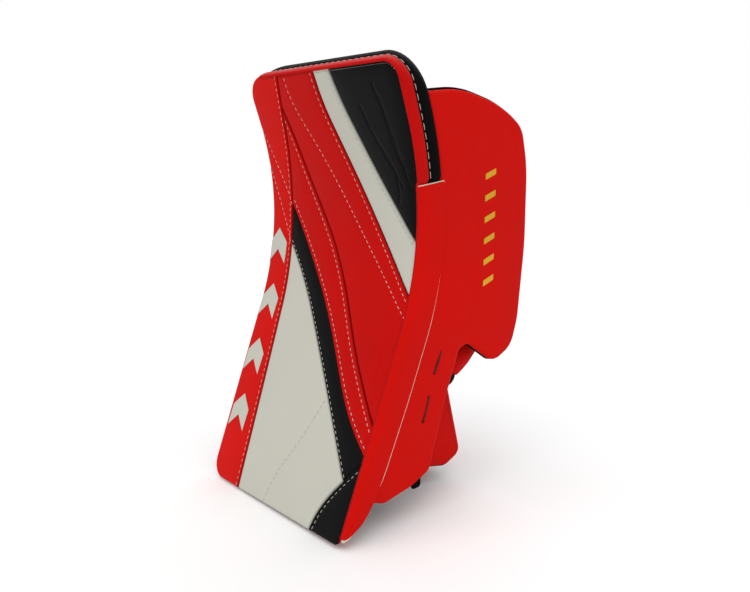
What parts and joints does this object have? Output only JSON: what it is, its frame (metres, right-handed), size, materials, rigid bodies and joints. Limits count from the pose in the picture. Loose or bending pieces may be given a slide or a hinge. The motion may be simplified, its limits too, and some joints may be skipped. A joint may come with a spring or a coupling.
{
  "type": "goalie blocker",
  "caption": "Ice hockey goalie blocker for the left hand: a curved padded board with a side guard, a backing glove with bending fingers and thumb, a flap cuff and a wrist strap.",
  "frame": {"origin": "middle of the hand pocket behind the board", "axes": "+Z towards the finger end along the board, +X towards the thumb side, +Y out of the palm, so the board's front face looks along -Y"},
  "size_m": [0.205, 0.2126, 0.3746],
  "materials": {
    "red_leather": "satin",
    "white_leather": "satin",
    "black_leather": "satin",
    "black_knit": "matte",
    "palm_suede": "matte",
    "foam": "matte",
    "plastic_sheet": "matte",
    "gold_print": "satin",
    "lace_cord": "matte",
    "strap_webbing": "matte",
    "hook_and_loop": "matte",
    "tab_rubber": "matte"
  },
  "bodies": {
    "blocker": {"outer_strip_panel": "red_leather", "curved_band_panel": "red_leather", "centre_panel": "red_leather", "front_edge_binding": "red_leather", "side_overlay_strip": "red_leather", "guard_skin": "red_leather", "cuff_thumb_side": "red_leather", "cuff_little_side": "red_leather", "white_lower_panel": "white_leather", "white_stripe_panel": "white_leather", "outer_strip_marks": "white_leather", "black_stripe_panel": "black_leather", "upper_corner_panel": "black_leather", "lower_corner_panel": "black_leather", "rear_edge_band": "black_leather", "knuckle_roll": "black_leather", "thumb_gusset": "black_leather", "little_finger_gusset": "black_leather", "thumb_root": "black_leather", "back_liner": "black_knit", "guard_liner": "black_knit", "guard_edge_binding": "black_knit", "backhand_lining": "black_knit", "palm": "palm_suede", "palm_patch": "palm_suede", "foam_core": "foam", "rear_foam": "foam", "guard_outer_foam": "foam", "guard_inner_foam": "foam", "backhand_foam": "foam", "finger_rest_pad": "foam", "stiffener_plate": "plastic_sheet", "guard_insert": "plastic_sheet", "guard_marks": "gold_print", "guard_laces": "lace_cord", "strap_anchor": "strap_webbing", "strap_loop_patch": "hook_and_loop"},
    "wrist_strap": {"wrist_strap": "strap_webbing", "strap_hook_patch": "hook_and_loop", "strap_pull_tab": "tab_rubber"},
    "cuff_flap": {"cuff_palm_flap": "red_leather"},
    "thumb_base": {"thumb_base": "black_leather", "thumb_shell": "red_leather"},
    "thumb_tip": {"thumb_tip": "black_leather"},
    "little_base": {"little_finger_base": "black_leather"},
    "little_tip": {"little_finger_tip": "black_leather"},
    "ring_base": {"ring_finger_base": "black_leather"},
    "ring_tip": {"ring_finger_tip": "black_leather"},
    "middle_base": {"middle_finger_base": "black_leather"},
    "middle_tip": {"middle_finger_tip": "black_leather"},
    "index_base": {"index_finger_base": "black_leather"},
    "index_tip": {"index_finger_tip": "black_leather"}
  },
  "joints": [
    {"name": "little_knuckle", "type": "hinge", "parent": "blocker", "child": "little_base", "pos_m": [-0.03525, 0.004, 0.052], "axis": [-1, 0, 0], "range_deg": [0, 70]},
    {"name": "little_bend", "type": "hinge", "parent": "little_base", "child": "little_tip", "pos_m": [-0.03525, 0.01099, 0.08487], "axis": [-1, 0, 0], "range_deg": [0, 60]},
    {"name": "ring_knuckle", "type": "hinge", "parent": "blocker", "child": "ring_base", "pos_m": [-0.01175, 0.004, 0.052], "axis": [-1, 0, 0], "range_deg": [0, 70]},
    {"name": "ring_bend", "type": "hinge", "parent": "ring_base", "child": "ring_tip", "pos_m": [-0.01175, 0.01202, 0.08976], "axis": [-1, 0, 0], "range_deg": [0, 60]},
    {"name": "middle_knuckle", "type": "hinge", "parent": "blocker", "child": "middle_base", "pos_m": [0.01175, 0.004, 0.052], "axis": [-1, 0, 0], "range_deg": [0, 70]},
    {"name": "middle_bend", "type": "hinge", "parent": "middle_base", "child": "middle_tip", "pos_m": [0.01175, 0.01244, 0.09171], "axis": [-1, 0, 0], "range_deg": [0, 60]},
    {"name": "index_knuckle", "type": "hinge", "parent": "blocker", "child": "index_base", "pos_m": [0.03525, 0.004, 0.052], "axis": [-1, 0, 0], "range_deg": [0, 70]},
    {"name": "index_bend", "type": "hinge", "parent": "index_base", "child": "index_tip", "pos_m": [0.03525, 0.01182, 0.08878], "axis": [-1, 0, 0], "range_deg": [0, 60]},
    {"name": "thumb_knuckle", "type": "hinge", "parent": "blocker", "child": "thumb_base", "pos_m": [0.065, 0.004, -0.066], "axis": [1, 0, 0], "range_deg": [-10, 25]},
    {"name": "thumb_bend", "type": "hinge", "parent": "thumb_base", "child": "thumb_tip", "pos_m": [0.065, 0.03417, -0.03883], "axis": [1, 0, 0], "range_deg": [-10, 25]},
    {"name": "cuff_flap_hinge", "type": "hinge", "parent": "blocker", "child": "cuff_flap", "pos_m": [0, 0.02, -0.076], "axis": [1, 0, 0], "range_deg": [0, 40]},
    {"name": "strap_hinge", "type": "hinge", "parent": "blocker", "child": "wrist_strap", "pos_m": [-0.053, 0.02345, -0.042], "axis": [0, 0, 1], "range_deg": [0, 150]}
  ],
  "couplings": [
    {"joint": "little_bend", "follows": "little_knuckle", "ratio": 0.85714},
    {"joint": "ring_bend", "follows": "ring_knuckle", "ratio": 0.85714},
    {"joint": "middle_bend", "follows": "middle_knuckle", "ratio": 0.85714},
    {"joint": "index_bend", "follows": "index_knuckle", "ratio": 0.85714},
    {"joint": "thumb_bend", "follows": "thumb_knuckle", "ratio": 1}
  ]
}
